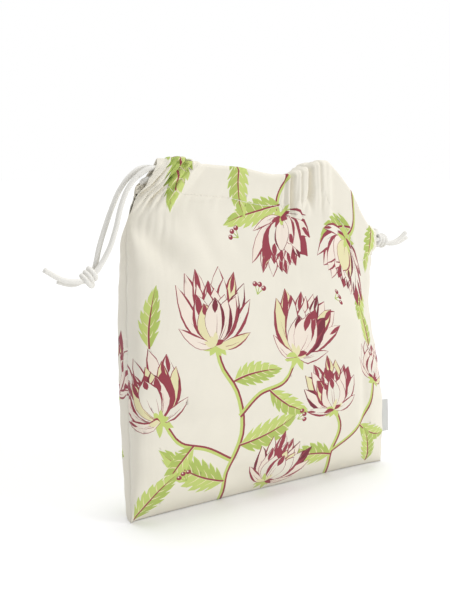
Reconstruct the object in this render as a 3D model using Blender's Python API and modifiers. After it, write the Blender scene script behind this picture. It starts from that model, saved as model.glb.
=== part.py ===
"""Drawstring pouch, filled out and standing: two cloth panels sewn round three sides,
each turned in at the mouth to make a casing, with two drawcords that run through both
casings and are knotted at opposite ends, and a folded label in the right side seam.

Metres, +Z up, the front faces -Y. The origin is on the floor under the middle."""

import bmesh
import bpy
import numpy as np
from mathutils import Vector

# The cloth and how it is sewn
CLOTH_THICKNESS = 0.0008
PLY_GAP = 0.0003
HEM_GAP = 0.0007
MOUTH_END_GAP = 0.0016
SEAM_ALLOWANCE = 0.008
CORNER = 3 * SEAM_ALLOWANCE

# The filled bag
BAG_WIDTH = 0.264
BAG_HEIGHT = 0.2865
FRONT_DEPTH = 0.024
BACK_DEPTH = 0.043
BOTTOM_BOW = 0.005
FLOOR_FOLD_RADIUS = 0.007
BAG_SHIFT = -0.0039
SEAM_PLANE = (FRONT_DEPTH - BACK_DEPTH) / 2

# The drawcords, and the casing that is made to fit two of them
CORD_DIAMETER = 0.004
CORD_CLEARANCE = 0.001
CASING_HEIGHT = 0.026
SIDE_VENT_LENGTH = 0.014
TUNNEL_DEPTH = CORD_DIAMETER + 2 * CORD_CLEARANCE + CLOTH_THICKNESS
CORD_LEVELS = (0.27 * CASING_HEIGHT, 0.57 * CASING_HEIGHT)

# The gathers along the casing: middle and half width as shares of half the mouth
GATHER_ZONES = ((-0.83, 0.17), (0.21, 0.25))
GATHER_PITCH = 0.086
GATHER_RISE = 0.0034
GATHER_RUFFLE = 0.0016
GATHER_LENGTH = 0.050

# The knots
KNOT_WRAPS = 3
KNOT_RADIUS = 1.7 * CORD_DIAMETER
KNOT_LENGTH = KNOT_WRAPS * CORD_DIAMETER

LEFT_KNOT = (-0.1620, SEAM_PLANE, 0.2016)
LEFT_KNOT_AXIS = (-0.75, 0, -0.66)
RIGHT_KNOT = (0.1175, SEAM_PLANE, 0.2125)
RIGHT_KNOT_AXIS = (0.97, 0, -0.22)
# The free stretches of cord, as (x, distance before or behind the seam plane, z): from the casing to the
# left knot, and from each knot to its cut ends
LEFT_FRONT_STRAND = (
    (-0.1185, -0.0050, 0.2765), (-0.1278, -0.0045, 0.2708), (-0.1360, -0.0042, 0.2610), (-0.1415, -0.0040, 0.2480),
    (-0.1450, -0.0038, 0.2340), (-0.1492, -0.0032, 0.2195), (-0.1545, -0.0025, 0.2098),
)
LEFT_BACK_STRAND = (
    (-0.1198, 0.0052, 0.2768), (-0.1292, 0.0050, 0.2710), (-0.1378, 0.0050, 0.2608), (-0.1448, 0.0048, 0.2470),
    (-0.1502, 0.0044, 0.2325), (-0.1543, 0.0036, 0.2195), (-0.1563, 0.0026, 0.2100),
)
LEFT_FRONT_TAIL = ((-0.1755, -0.0024, 0.1962), (-0.1850, -0.0026, 0.1990), (-0.1987, -0.0030, 0.2075))
LEFT_BACK_TAIL = ((-0.1740, 0.0024, 0.1935), (-0.1865, 0.0026, 0.1975))
RIGHT_FRONT_TAIL = ((0.1310, -0.0024, 0.2105), (0.1395, -0.0027, 0.2135), (0.1470, -0.0030, 0.2190))
RIGHT_BACK_TAIL = ((0.1320, 0.0024, 0.2090), (0.1430, 0.0022, 0.2098), (0.1530, 0.0020, 0.2140))

# The side label
LABEL_HEIGHT = 0.031
LABEL_REACH = 0.008
LABEL_BOTTOM = 0.030
LABEL_PLY = 0.0004

# Mesh fineness
COARSE_PITCH = 0.0150
GATHER_COLUMNS_PER_FOLD = 3.6
WALL_ROWS = 11
CORD_STEP = 0.018
CORD_TURN = 0.50

# How far each side seam stands in from half the width, against the share of the height
LEFT_INSET = ((0.0, 0.0005), (0.35, 0.0), (0.70, 0.0005), (0.83, 0.002), (0.90, 0.008), (0.95, 0.0165), (1.0, 0.027))
RIGHT_INSET = (
    (0.0, 0.0010), (0.08, 0.0010), (0.26, 0.0030), (0.47, 0.0125), (0.70, 0.0235), (0.84, 0.0210), (0.94, 0.0205),
    (1.0, 0.0215),
)
# Share of each panel's full depth, against the share of the height: the back one also makes the floor
FRONT_SHARE = (
    (0.0, -BOTTOM_BOW / FRONT_DEPTH), (0.05, 0.30), (0.12, 0.62), (0.25, 0.88), (0.42, 1.0), (0.62, 0.96), (0.80, 0.80),
    (0.91, 0.67), (1.0, 0.64),
)
BACK_SHARE = ((0.0, 0.64), (0.12, 0.80), (0.35, 1.0), (0.60, 0.93), (0.78, 0.66), (0.90, 0.40), (1.0, 0.354))
# Drop of the mouth's fold below the full height, against the place along the mouth
MOUTH_DROP = (
    (-1.0, 0.0022), (-0.88, 0.0006), (-0.70, 0.0056), (-0.40, 0.0084), (0.0, 0.0136), (0.12, 0.0105), (0.22, 0.0065),
    (0.32, 0.0026), (0.41, 0.0030), (0.50, 0.0100), (0.60, 0.0195), (0.70, 0.0305), (0.80, 0.0460), (0.90, 0.0572),
    (1.0, 0.0600),
)
# The loop of the turned-in hem: how far in as a share of the tunnel, how far down as a share of the casing
HEM_LOOP = ((0.14, 0.02), (0.50, 0.0), (0.86, 0.02), (1.0, 0.11), (1.0, 0.33), (1.0, 0.56), (0.84, 0.77), (0.48, 0.92))
# Soft hollows pressed in the front: ends (x, z), half width and depth
FRONT_HOLLOWS = (
    ((-0.130, 0.238), (-0.080, 0.200), 0.014, 0.0035),
    ((-0.120, 0.083), (-0.060, 0.058), 0.013, 0.0025),
    ((0.090, 0.130), (0.106, 0.060), 0.011, 0.0040),
)
BACK_HOLLOWS = (((0.100, 0.210), (0.050, 0.170), 0.016, 0.0030),)

SIDE_FULLNESS = 4.0
LEFT_ROUNDNESS = 0.25
RIGHT_ROUNDNESS = 0.62


def along(knots, place):
    """A smooth curve through (place, value) pairs, read at an array of places."""
    at, value = np.array(knots).T
    slope = np.gradient(value, at)
    place = np.clip(place, at[0], at[-1])
    i = np.clip(np.searchsorted(at, place) - 1, 0, len(at) - 2)
    span = at[i + 1] - at[i]
    s = (place - at[i]) / span
    rise = s * s * (3 - 2 * s)
    return (
        value[i] * (1 - rise)
        + value[i + 1] * rise
        + span * (slope[i] * s * (1 - s) ** 2 - slope[i + 1] * s * s * (1 - s))
    )


def ease(value, start, end):
    """0 before start, 1 after end, and a smooth step between them."""
    s = np.clip((value - start) / (end - start), 0, 1)
    return s * s * (3 - 2 * s)


def gather_wave(x):
    """0 in the valleys and outside the gathers, 1 on the ridges."""
    wave = 0
    for middle, half in GATHER_ZONES:
        window = 1 - ease(np.abs(x - middle), 0.6 * half, half)
        wave = wave + window * (0.5 - 0.5 * np.cos(2 * np.pi * (x - middle + 0.5 * GATHER_PITCH) / GATHER_PITCH))
    return wave


def mouth_height(x):
    return BAG_HEIGHT - CLOTH_THICKNESS / 2 - along(MOUTH_DROP, x) - GATHER_RUFFLE * (1 - gather_wave(x)) * gather_zone(x)


def gather_rise(x, below):
    """How far the gathers stand out from the wall, dying away below the casing."""
    return GATHER_RISE * gather_wave(x) * (1 - ease(below, 0.4 * GATHER_LENGTH, GATHER_LENGTH))


def gather_zone(x):
    return sum(1 - ease(np.abs(x - middle), 0.6 * half, half) for middle, half in GATHER_ZONES)


def slant(x):
    """How much longer a vertical is than the square distance below the mouth's sloping fold."""
    step = 0.01
    rise = (along(MOUTH_DROP, x + step) - along(MOUTH_DROP, x - step)) / (2 * step)
    return np.sqrt(1 + (rise / (0.42 * BAG_WIDTH)) ** 2)


def seam_x(x, share):
    """Where a column stands between the two side seams at a share of its height."""
    left = -BAG_WIDTH / 2 + along(LEFT_INSET, share)
    right = BAG_WIDTH / 2 - along(RIGHT_INSET, share)
    return BAG_SHIFT + (left + right) / 2 + x * (right - left) / 2


def hollow_depth(hollows, px, pz):
    """How far the soft hollows press the cloth in at each point."""
    deep = 0
    for (x0, z0), (x1, z1), half, depth in hollows:
        dx, dz = x1 - x0, z1 - z0
        s = np.clip(((px - x0) * dx + (pz - z0) * dz) / (dx * dx + dz * dz), 0, 1)
        away = np.hypot(px - x0 - s * dx, pz - z0 - s * dz)
        deep = deep + depth * np.exp(-((away / half) ** 2)) * (0.4 + 0.6 * np.sin(np.pi * s))
    return deep


def wall_depth(side, x, z):
    """Distance of a panel's middle surface from the plane of the side seams, with no gathers."""
    top = mouth_height(x)
    share = z / top
    below = (top - z) / slant(x)
    depth, shares = (FRONT_DEPTH, FRONT_SHARE) if side < 0 else (BACK_DEPTH, BACK_SHARE)
    full = (depth - CLOTH_THICKNESS / 2) * along(shares, share)
    seam = (CLOTH_THICKNESS + PLY_GAP) / 2
    vent = ease(below, CASING_HEIGHT + SIDE_VENT_LENGTH, 0.85 * CASING_HEIGHT)
    end = seam + vent * (TUNNEL_DEPTH + CLOTH_THICKNESS / 2 + MOUTH_END_GAP / 2 - seam)
    roundness = np.where(x < 0, LEFT_ROUNDNESS, RIGHT_ROUNDNESS)
    roundness = roundness + (1 - roundness) * ease(below, CASING_HEIGHT + 0.034, CASING_HEIGHT + 0.002)
    bow = np.maximum(1 - np.abs(x) ** SIDE_FULLNESS, 0) ** roundness
    hollow = hollow_depth(FRONT_HOLLOWS if side < 0 else BACK_HOLLOWS, seam_x(x, share), z)
    return end + (full - end - hollow) * bow


def wall_profile(side, x):
    """Each column from the bottom seam up to the mouth, finely: the back one goes along the floor first."""
    x = x[:, None]
    seam = CLOTH_THICKNESS + PLY_GAP - wall_depth(-1, x, 0.0)
    radius = np.minimum(FLOOR_FOLD_RADIUS, 0.6 * (wall_depth(side, x, 0.003) - seam).clip(0) + 1e-5)
    climb = np.linspace(0, 1, 500)[None, :] * mouth_height(x)
    out, up = wall_depth(side, x, climb), climb
    if side > 0:
        reach = wall_depth(side, x, radius)
        floor = np.linspace(0, 1, 24)[None, :-1]
        turn = np.linspace(0, np.pi / 2, 12)[None, :-1]
        climb = radius + np.linspace(0, 1, 500)[None, :] * (mouth_height(x) - radius)
        out = [seam + floor * (reach - radius - seam), reach - radius + radius * np.sin(turn), wall_depth(side, x, climb)]
        up = [0 * (x + floor), radius - radius * np.cos(turn), climb]
        out, up = np.concatenate(out, axis=1), np.concatenate(up, axis=1)
    across = seam_x(x, up / mouth_height(x))
    return across, SEAM_PLANE + side * out, np.maximum(up, CLOTH_THICKNESS / 2)


def column_places(side):
    """Where the columns stand between the seams: close together in the gathers and round the full left side."""
    x = np.linspace(-1, 1, 8001)
    across = seam_x(x, 0.4)
    out = wall_depth(side, x, 0.4 * mouth_height(x))
    length = np.hypot(np.diff(across), np.diff(out))
    fine = GATHER_PITCH * 0.42 * BAG_WIDTH / GATHER_COLUMNS_PER_FOLD
    middle = (x[1:] + x[:-1]) / 2
    pitch = COARSE_PITCH + (fine - COARSE_PITCH) * np.minimum(1, 1.4 * gather_zone(middle))
    count = np.concatenate([[0], np.cumsum(length / pitch)])
    places = np.interp(np.linspace(0, count[-1], int(np.ceil(count[-1])) + 1), count, x)
    return places


def panel_points(side):
    """The panel's grid of points, a row for each line round the bag, from the bottom seam to the hem's edge."""
    x = column_places(side)
    across, out, up = wall_profile(side, x)
    steps = np.sqrt(np.diff(across) ** 2 + np.diff(out) ** 2 + np.diff(up) ** 2)
    run = np.concatenate([np.zeros((len(x), 1)), np.cumsum(steps, axis=1)], axis=1)
    below_mouth = np.array([2.2, 1.85, 1.55, 1.28, 1.0, 0.72, 0.42, 0.11]) * CASING_HEIGHT
    rows = []
    for column in range(len(x)):
        lean = slant(x[column])
        total = run[column, -1]
        upper = total - below_mouth * lean
        lower = upper[0] * (np.arange(WALL_ROWS) / WALL_ROWS)
        if side > 0:
            flat = max(run[column, 23], 0.6 * FLOOR_FOLD_RADIUS)
            turned = flat + np.pi / 2 * FLOOR_FOLD_RADIUS
            floor = [0, 0.35 * flat, 0.75 * flat, flat, (flat + turned) / 2, turned]
            lower = np.concatenate([floor, turned + (upper[0] - turned) * np.arange(1, WALL_ROWS - 3) / (WALL_ROWS - 3)])
        stations = np.concatenate([lower, upper])
        rows.append([np.interp(stations, run[column], axis[column]) for axis in (across, out, up)])
    grid = np.array(rows).transpose(2, 0, 1)
    below = (mouth_height(x)[None, :] - grid[:, :, 2]) / slant(x)
    grid[:, :, 1] += side * gather_rise(x, below)
    if side < 0:
        in_corner = np.minimum(grid[0, :, 0] - grid[0, 0, 0], grid[0, -1, 0] - grid[0, :, 0]) <= CORNER
        grid[0, in_corner, 2] = 0.3 * CLOTH_THICKNESS
    return np.concatenate([grid, hem_points(side, x)])


def hem_points(side, x):
    """The fold over the mouth and the ply that is turned down inside to the casing's stitching."""
    loop = [(share * TUNNEL_DEPTH, down * CASING_HEIGHT) for share, down in HEM_LOOP]
    loop.append((CLOTH_THICKNESS + HEM_GAP, CASING_HEIGHT))
    rows = []
    for inward, down in loop:
        height = mouth_height(x) - down * slant(x)
        sewn = ease(down, 0.6 * CASING_HEIGHT, CASING_HEIGHT)
        turned = inward / TUNNEL_DEPTH
        puff = gather_rise(x, down) * (sewn + (1 - sewn) * (1 - 1.4 * turned))
        depth = wall_depth(side, x, height) - inward + puff
        rows.append(np.stack([seam_x(x, height / mouth_height(x)), SEAM_PLANE + side * depth, height], axis=1))
    return np.array(rows)


def from_seam_plane(points):
    """Points given from the plane of the side seams, in the pouch's own frame."""
    return [(x, SEAM_PLANE + y, z) for x, y, z in points]


def finish(name, colour, roughness):
    material = bpy.data.materials.new(name)
    material.use_nodes = True
    shader = material.node_tree.nodes["Principled BSDF"]
    shader.inputs["Base Color"].default_value = (*colour, 1)
    shader.inputs["Roughness"].default_value = roughness
    shader.inputs["Metallic"].default_value = 0
    return material


def add_object(name, data, collection, material):
    data.materials.append(material)
    obj = bpy.data.objects.new(name, data)
    collection.objects.link(obj)
    return obj


def turn_in_allowance(mesh, grid, below):
    """Folds a strip in along the bottom seam and up each side seam, clear of the tight corners."""
    rows, columns = grid.shape[:2]
    mesh.verts.ensure_lookup_table()
    strips = [[(column, Vector((0, 0, SEAM_ALLOWANCE))) for column in range(columns)
               if grid[0, 0, 0] + CORNER < grid[0, column, 0] < grid[0, -1, 0] - CORNER]]
    for column, inward in ((0, SEAM_ALLOWANCE), (columns - 1, -SEAM_ALLOWANCE)):
        strips.append([(row * columns + column, Vector((inward, 0, 0))) for row in range(len(below))
                       if grid[row, column, 2] > CORNER and below[row, column] > CASING_HEIGHT + 1.8 * SIDE_VENT_LENGTH])
    for strip in strips:
        inner = {mesh.verts[index].co.copy().freeze(): inward for index, inward in strip}
        chosen = {mesh.verts[index] for index, inward in strip}
        edges = [e for e in mesh.edges if e.is_boundary and e.verts[0] in chosen and e.verts[1] in chosen]
        made = bmesh.ops.extrude_edge_only(mesh, edges=edges)
        for vert in (part for part in made["geom"] if isinstance(part, bmesh.types.BMVert)):
            vert.co += inner[vert.co.copy().freeze()]
        mesh.verts.ensure_lookup_table()


def add_panel(name, side, collection, material):
    """One panel: an open sheet in its filled-out shape, given the cloth's thickness by Solidify."""
    grid = panel_points(side)
    rows, columns = grid.shape[:2]
    mesh = bmesh.new()
    verts = [mesh.verts.new(point) for point in grid.reshape(-1, 3)]
    for row in range(rows - 1):
        for column in range(columns - 1):
            low = row * columns + column
            corners = [verts[low], verts[low + 1], verts[low + columns + 1], verts[low + columns]]
            mesh.faces.new(corners if side < 0 else corners[::-1])
    places = column_places(side)
    wall = grid[: rows - len(HEM_LOOP) - 1, :, 2]
    turn_in_allowance(mesh, grid, (mouth_height(places)[None, :] - wall) / slant(places))
    bmesh.ops.recalc_face_normals(mesh, faces=mesh.faces)
    data = bpy.data.meshes.new(name)
    mesh.to_mesh(data)
    mesh.free()
    data.shade_smooth()
    obj = add_object(name, data, collection, material)
    cloth = obj.modifiers.new("Cloth", "SOLIDIFY")
    cloth.thickness = CLOTH_THICKNESS
    cloth.offset = 0
    return obj


def tunnel_run(side, level, start, end):
    """The middle of the casing's tunnel at a level below the fold, from one place along it to another."""
    x = np.linspace(start, end, 21)
    height = mouth_height(x) - CORD_LEVELS[level] * slant(x)
    depth = wall_depth(side, x, height) - TUNNEL_DEPTH / 2
    return np.stack([seam_x(x, height / mouth_height(x)), SEAM_PLANE + side * depth, height], axis=1)


def circuit(level, away):
    """A cord's way in through the front casing, round the far end, and back through the other casing."""
    front = tunnel_run(-1, level, -0.97 * away, 0.97 * away)
    back = tunnel_run(1, level, 0.97 * away, -0.97 * away)
    edge, height, depth = front[-1][0], front[-1][2], (back[0][1] - front[-1][1]) / 2
    reach = CORD_DIAMETER
    bend = [
        (edge + away * (0.03 * BAG_WIDTH / 2 + reach * out), SEAM_PLANE + depth * beside, height + away * 0.6 * CORD_DIAMETER * out)
        for out, beside in ((0.15, -0.97), (0.80, -0.62), (1.05, 0), (0.80, 0.62), (0.15, 0.97))
    ]
    return np.concatenate([front, bend, back])


def smooth_line(points, step):
    """Points a step apart on a smooth curve through the given ones, and closer together where it turns."""
    points = np.asarray(points, float)
    chord = np.concatenate([[0], np.cumsum(np.linalg.norm(np.diff(points, axis=0), axis=1) ** 0.5)])
    fine = np.linspace(0, chord[-1], 60 * len(points))
    line = np.stack([along(np.stack([chord, points[:, axis]], axis=1), fine) for axis in range(3)], axis=1)
    pieces = np.diff(line, axis=0)
    length = np.linalg.norm(pieces, axis=1)
    heading = pieces / length[:, None]
    turning = np.arccos(np.clip((heading[1:] * heading[:-1]).sum(axis=1), -1, 1))
    count = np.concatenate([[0], np.cumsum(length / step + np.append(turning, 0) / CORD_TURN)])
    stations = np.linspace(0, count[-1], int(round(count[-1])) + 1)
    return np.stack([np.interp(stations, count, line[:, axis]) for axis in range(3)], axis=1)


def add_cord(name, start, route, end, collection, material):
    """A round cord along a smooth line, with the straight leads that it has where it meets a knot."""
    line = [*start[:1], *smooth_line([*start[1:], *route, *end[:1]], CORD_STEP), *end[1:]]
    data = bpy.data.curves.new(name, "CURVE")
    data.dimensions = "3D"
    data.bevel_depth = CORD_DIAMETER / 2
    data.bevel_resolution = 2
    data.use_fill_caps = True
    data.twist_mode = "MINIMUM"
    spline = data.splines.new("POLY")
    spline.points.add(len(line) - 1)
    for knot, point in zip(spline.points, line):
        knot.co = (*point, 1)
    return add_object(name, data, collection, material)


def add_knot(name, centre, axis, collection, material):
    """An overhand knot's outer shape: three turns of cord side by side round the two strands."""
    mesh = bmesh.new()
    core = KNOT_RADIUS - CORD_DIAMETER / 2
    outline = [(0, KNOT_LENGTH / 2), (core, KNOT_LENGTH / 2)]
    for wrap in range(KNOT_WRAPS):
        middle = KNOT_LENGTH / 2 - (wrap + 0.5) * CORD_DIAMETER
        for angle in np.radians((60, 20, -20, -60)):
            outline.append((core + CORD_DIAMETER / 2 * np.cos(angle), middle + CORD_DIAMETER / 2 * np.sin(angle)))
    outline += [(core, -KNOT_LENGTH / 2), (0, -KNOT_LENGTH / 2)]
    verts = [mesh.verts.new((radius, 0, height)) for radius, height in outline]
    for low, high in zip(verts, verts[1:]):
        mesh.edges.new((low, high))
    data = bpy.data.meshes.new(name)
    mesh.to_mesh(data)
    mesh.free()
    data.shade_smooth()
    obj = add_object(name, data, collection, material)
    turn = obj.modifiers.new("Turns", "SCREW")
    turn.steps = turn.render_steps = 16
    turn.use_merge_vertices = True
    turn.merge_threshold = 0.00001
    obj.location = centre
    obj.rotation_euler = Vector(axis).to_track_quat("-Z", "Y").to_euler()
    return obj


def add_label(name, collection, material):
    """A short ribbon folded in half, its cut ends caught at the right side seam and its fold outwards."""
    z = np.linspace(LABEL_BOTTOM, LABEL_BOTTOM + LABEL_HEIGHT, 4)
    seam = seam_x(1.0, z / mouth_height(1.0)) + CLOTH_THICKNESS + PLY_GAP
    apart = (LABEL_PLY + PLY_GAP) / 2
    section = [(0, -apart), (0.5, -apart), (0.95, -apart), (1.0, 0), (0.95, apart), (0.5, apart), (0, apart)]
    mesh = bmesh.new()
    grid = [
        [mesh.verts.new((edge + out * LABEL_REACH, SEAM_PLANE + y, height)) for out, y in section]
        for edge, height in zip(seam, z)
    ]
    for low, high in zip(grid, grid[1:]):
        for i in range(len(section) - 1):
            mesh.faces.new((low[i], low[i + 1], high[i + 1], high[i]))
    bmesh.ops.recalc_face_normals(mesh, faces=mesh.faces)
    data = bpy.data.meshes.new(name)
    mesh.to_mesh(data)
    mesh.free()
    obj = add_object(name, data, collection, material)
    ribbon = obj.modifiers.new("Ribbon", "SOLIDIFY")
    ribbon.thickness = LABEL_PLY
    ribbon.offset = 0
    ribbon.use_even_offset = True
    return obj


def knot_leads(centre, axis):
    """The short straight leads of the two strands into a knot and of its two tails out of it, front one first."""
    centre, axis = Vector(centre), Vector(axis).normalized()
    ends = []
    for way, apart in ((-1, 0.8), (1, 0.54)):
        for beside in (-apart * CORD_DIAMETER, apart * CORD_DIAMETER):
            face = centre + way * axis * (KNOT_LENGTH / 2 + PLY_GAP) + Vector((0, beside, 0))
            ends.append([face, face + way * axis * 0.3 * CORD_DIAMETER])
    return ends


def build():
    for obj in list(bpy.data.objects):
        bpy.data.objects.remove(obj)
    pouch = bpy.data.collections.new("drawstring_pouch")
    bpy.context.scene.collection.children.link(pouch)
    cotton = finish("cream_cotton", (0.83, 0.78, 0.66), 0.9)
    braid = finish("white_braid", (0.78, 0.77, 0.72), 0.85)
    ribbon = finish("woven_ribbon", (0.80, 0.80, 0.78), 0.7)

    add_panel("front_panel", -1, pouch, cotton)
    add_panel("back_panel", 1, pouch, cotton)
    add_label("side_label", pouch, ribbon)

    # The left knot hangs on two free strands, and its tails turn up to the left.
    front_in, back_in, front_out, back_out = knot_leads(LEFT_KNOT, LEFT_KNOT_AXIS)
    route = [*from_seam_plane(LEFT_FRONT_STRAND[::-1]), *circuit(0, 1), *from_seam_plane(LEFT_BACK_STRAND)]
    add_cord("drawcord_left", front_in, route, back_in[::-1], pouch, braid)
    add_knot("knot_left", LEFT_KNOT, LEFT_KNOT_AXIS, pouch, braid)
    add_cord("tail_left_front", front_out, from_seam_plane(LEFT_FRONT_TAIL), [], pouch, braid)
    add_cord("tail_left_back", back_out, from_seam_plane(LEFT_BACK_TAIL), [], pouch, braid)

    # The right knot is drawn up against the casing, and its tails point to the right.
    front_in, back_in, front_out, back_out = knot_leads(RIGHT_KNOT, RIGHT_KNOT_AXIS)
    add_cord("drawcord_right", front_in, circuit(1, -1), back_in[::-1], pouch, braid)
    add_knot("knot_right", RIGHT_KNOT, RIGHT_KNOT_AXIS, pouch, braid)
    add_cord("tail_right_front", front_out, from_seam_plane(RIGHT_FRONT_TAIL), [], pouch, braid)
    add_cord("tail_right_back", back_out, from_seam_plane(RIGHT_BACK_TAIL), [], pouch, braid)


build()
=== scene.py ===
import bpy
import numpy as np
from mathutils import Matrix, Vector
from mathutils.geometry import delaunay_2d_cdt


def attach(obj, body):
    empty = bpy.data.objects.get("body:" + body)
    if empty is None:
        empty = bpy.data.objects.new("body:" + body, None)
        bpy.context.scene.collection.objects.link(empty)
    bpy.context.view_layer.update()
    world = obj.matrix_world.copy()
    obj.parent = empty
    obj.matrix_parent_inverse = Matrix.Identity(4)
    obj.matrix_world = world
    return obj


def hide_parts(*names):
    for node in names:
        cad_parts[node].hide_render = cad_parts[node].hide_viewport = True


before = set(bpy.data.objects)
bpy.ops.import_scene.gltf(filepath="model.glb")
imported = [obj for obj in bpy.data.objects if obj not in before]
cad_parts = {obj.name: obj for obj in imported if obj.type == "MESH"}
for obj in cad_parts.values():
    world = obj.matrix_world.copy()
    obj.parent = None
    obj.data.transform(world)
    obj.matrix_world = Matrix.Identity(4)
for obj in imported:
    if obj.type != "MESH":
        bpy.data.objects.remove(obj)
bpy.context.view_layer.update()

# Colours, as they look on a screen
colours = {
    "cream": "#EFEADC", "burgundy": "#9A4450", "darkBurgundy": "#7C3542", "lime": "#C7D67C", "green": "#B2C468",
    "yellow": "#E9E2B4", "pink": "#F4E8DA", "wrongSide": "#EDE7D8", "cord": "#ECEAE4", "label": "#D3D4D1",
    "thread": "#F1EDE2", "floor": "#F6F6F6",
}


def linear(name):
    code = colours[name]
    parts = [int(code[i:i + 2], 16) / 255 for i in (1, 3, 5)]
    return [c / 12.92 if c <= 0.04045 else ((c + 0.055) / 1.055) ** 2.4 for c in parts] + [1]


# Shared sums

def along(knots, place):
    # a smooth curve through (place, value) pairs, read at an array of places
    at, value = np.array(knots, float).T
    slope = np.gradient(value, at)
    place = np.clip(place, at[0], at[-1])
    i = np.clip(np.searchsorted(at, place) - 1, 0, len(at) - 2)
    span = at[i + 1] - at[i]
    s = (place - at[i]) / span
    rise = s * s * (3 - 2 * s)
    bend = span * (slope[i] * s * (1 - s) ** 2 - slope[i + 1] * s * s * (1 - s))
    return value[i] * (1 - rise) + value[i + 1] * rise + bend


def ease(value, start, end):
    s = np.clip((value - start) / (end - start), 0, 1)
    return s * s * (3 - 2 * s)


# The pouch: sizes in metres. Curves are (place, value) pairs; a place runs from 0 at the bottom to 1 at the mouth, or
# from -1 at the left seam to 1 at the right one
bag = {
    "cloth": 0.0008, "plyGap": 0.0003, "hemGap": 0.0007, "mouthEndGap": 0.0016, "width": 0.264, "height": 0.2865,
    "frontDepth": 0.024, "backDepth": 0.043, "floorFold": 0.007, "shift": -0.0039,
    "casing": 0.026, "vent": 0.014, "cord": 0.004, "clearance": 0.001,
    "leftInset": ((0, 0.0005), (0.35, 0), (0.70, 0.0005), (0.83, 0.002), (0.90, 0.008), (0.95, 0.0165), (1, 0.027)),
    "rightInset": (
        (0, 0.0010), (0.08, 0.0010), (0.26, 0.0030), (0.47, 0.0125), (0.70, 0.0235), (0.84, 0.0210), (0.94, 0.0205),
        (1, 0.0215),
    ),
    "frontShare": (
        (0, -0.005 / 0.024), (0.05, 0.30), (0.12, 0.62), (0.25, 0.88), (0.42, 1), (0.62, 0.96), (0.80, 0.80),
        (0.91, 0.67), (1, 0.64),
    ),
    "backShare": ((0, 0.64), (0.12, 0.80), (0.35, 1), (0.60, 0.93), (0.78, 0.66), (0.90, 0.40), (1, 0.354)),
    "mouthDrop": (
        (-1, 0.0022), (-0.88, 0.0006), (-0.70, 0.0056), (-0.40, 0.0084), (0, 0.0136), (0.12, 0.0105), (0.22, 0.0065),
        (0.32, 0.0026), (0.41, 0.0030), (0.50, 0.0100), (0.60, 0.0195), (0.70, 0.0305), (0.80, 0.0460), (0.90, 0.0572),
        (1, 0.0600),
    ),
    "gathers": ((-0.83, 0.17), (0.21, 0.25)), "gatherRise": 0.0056, "gatherRuffle": 0.0024,
    # the cloth of the gathers stands at this share of their rise, and its folds lean to the side on their way down
    "gatherLevel": 0.9, "leftLean": 3.0, "rightLean": -2.4, "gatherLength": 0.050,
    # the valleys of the folds: middle, half width, height
    "folds": (
        (-0.955, 0.010, -0.4), (-0.908, 0.013, -0.65), (-0.865, 0.009, -0.35), (-0.818, 0.012, -0.95),
        (-0.768, 0.012, -0.55), (-0.715, 0.018, -0.4), (0.006, 0.013, -0.35), (0.053, 0.016, -0.95),
        (0.094, 0.007, -0.10), (0.130, 0.008, -0.3), (0.217, 0.020, -1.0), (0.262, 0.008, -0.1),
        (0.302, 0.012, -0.3), (0.362, 0.020, -0.2),
    ),
    "backDip": 0.006, "backEndIn": 0.008, "endZone": (0.86, 0.99), "endNarrowing": 0.0016,
    "fullness": 4, "leftRoundness": 0.25, "rightRoundness": 0.62,
    # the turned-in hem: how far in as a share of the tunnel, how far down as a share of the casing
    "hemLoop": (
        (0, 0.11), (0.14, 0.02), (0.50, 0), (0.86, 0.02), (1, 0.11), (1, 0.33), (1, 0.56), (0.84, 0.77),
        (0.48, 0.92),
    ),
}
seamPlane = (bag["frontDepth"] - bag["backDepth"]) / 2
tunnel = bag["cord"] + 2 * bag["clearance"] + bag["cloth"]


def casingEnd(x):
    return ease(np.abs(x), *bag["endZone"])


def casingEye(x, below):
    # how open the casing is: at its two ends only round the cords, and shut at the fold and at the stitching
    eye = (0.15 + 0.85 * ease(below, 0, 0.22 * bag["casing"])) * ease(below, bag["casing"], 0.66 * bag["casing"])
    return 1 - casingEnd(x) * (1 - eye)


def tunnelDepth(x, below):
    # from the casing's wall in to its turned-in ply: the cord's room, less at the two ends
    ply = bag["cloth"] + bag["hemGap"]
    return ply + (tunnel - bag["endNarrowing"] * casingEnd(x) - ply) * casingEye(x, below)


def gatherZone(x):
    # 1 inside the gathers, fading to 0 beside them
    return sum(1 - ease(np.abs(x - middle), 0.6 * half, half) for middle, half in bag["gathers"])


def gatherWave(x, below=0.0):
    # the folds of the drawn-up casing: raised cloth with a narrow valley at each pair; the left ones fan out below
    x = x + np.where(x < -0.5, bag["leftLean"], bag["rightLean"]) * below
    valleys = sum(height * np.exp(-((x - middle) / half) ** 2) for middle, half, height in bag["folds"])
    return bag["gatherLevel"] * gatherZone(x) + valleys


def mouthHeight(x, side=-1):
    # the fold at the mouth: the bag's height less the mouth's curve, a ruffle in the valleys, and the back's dip
    ruffle = bag["gatherRuffle"] * (bag["gatherLevel"] - np.clip(gatherWave(x), -0.1, 1)) * gatherZone(x)
    dip = bag["backDip"] * np.exp(-((x - 0.20) / 0.15) ** 2) if side > 0 else 0.0
    return bag["height"] - bag["cloth"] / 2 - along(bag["mouthDrop"], x) - ruffle - dip


def gatherRise(x, below, side=-1):
    # the folds under the casing, the stitching's groove across them, and the puckers that it draws
    fade = 1 - ease(below, 0.46 * bag["gatherLength"], 0.92 * bag["gatherLength"])
    fold = bag["gatherRise"] * gatherWave(x, below) * fade
    line = below - bag["casing"]
    groove = 0.0006 * np.exp(-(line / 0.0013) ** 2) * (1 - ease(np.abs(x), 0.93, 0.99))
    pucker = 0.00035 * np.sin(118 * x + 9 * side + 2 * np.sin(31 * x)) * np.exp(-np.abs(line) / 0.007) * (1 - x ** 8)
    return fold - groove + pucker


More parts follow.
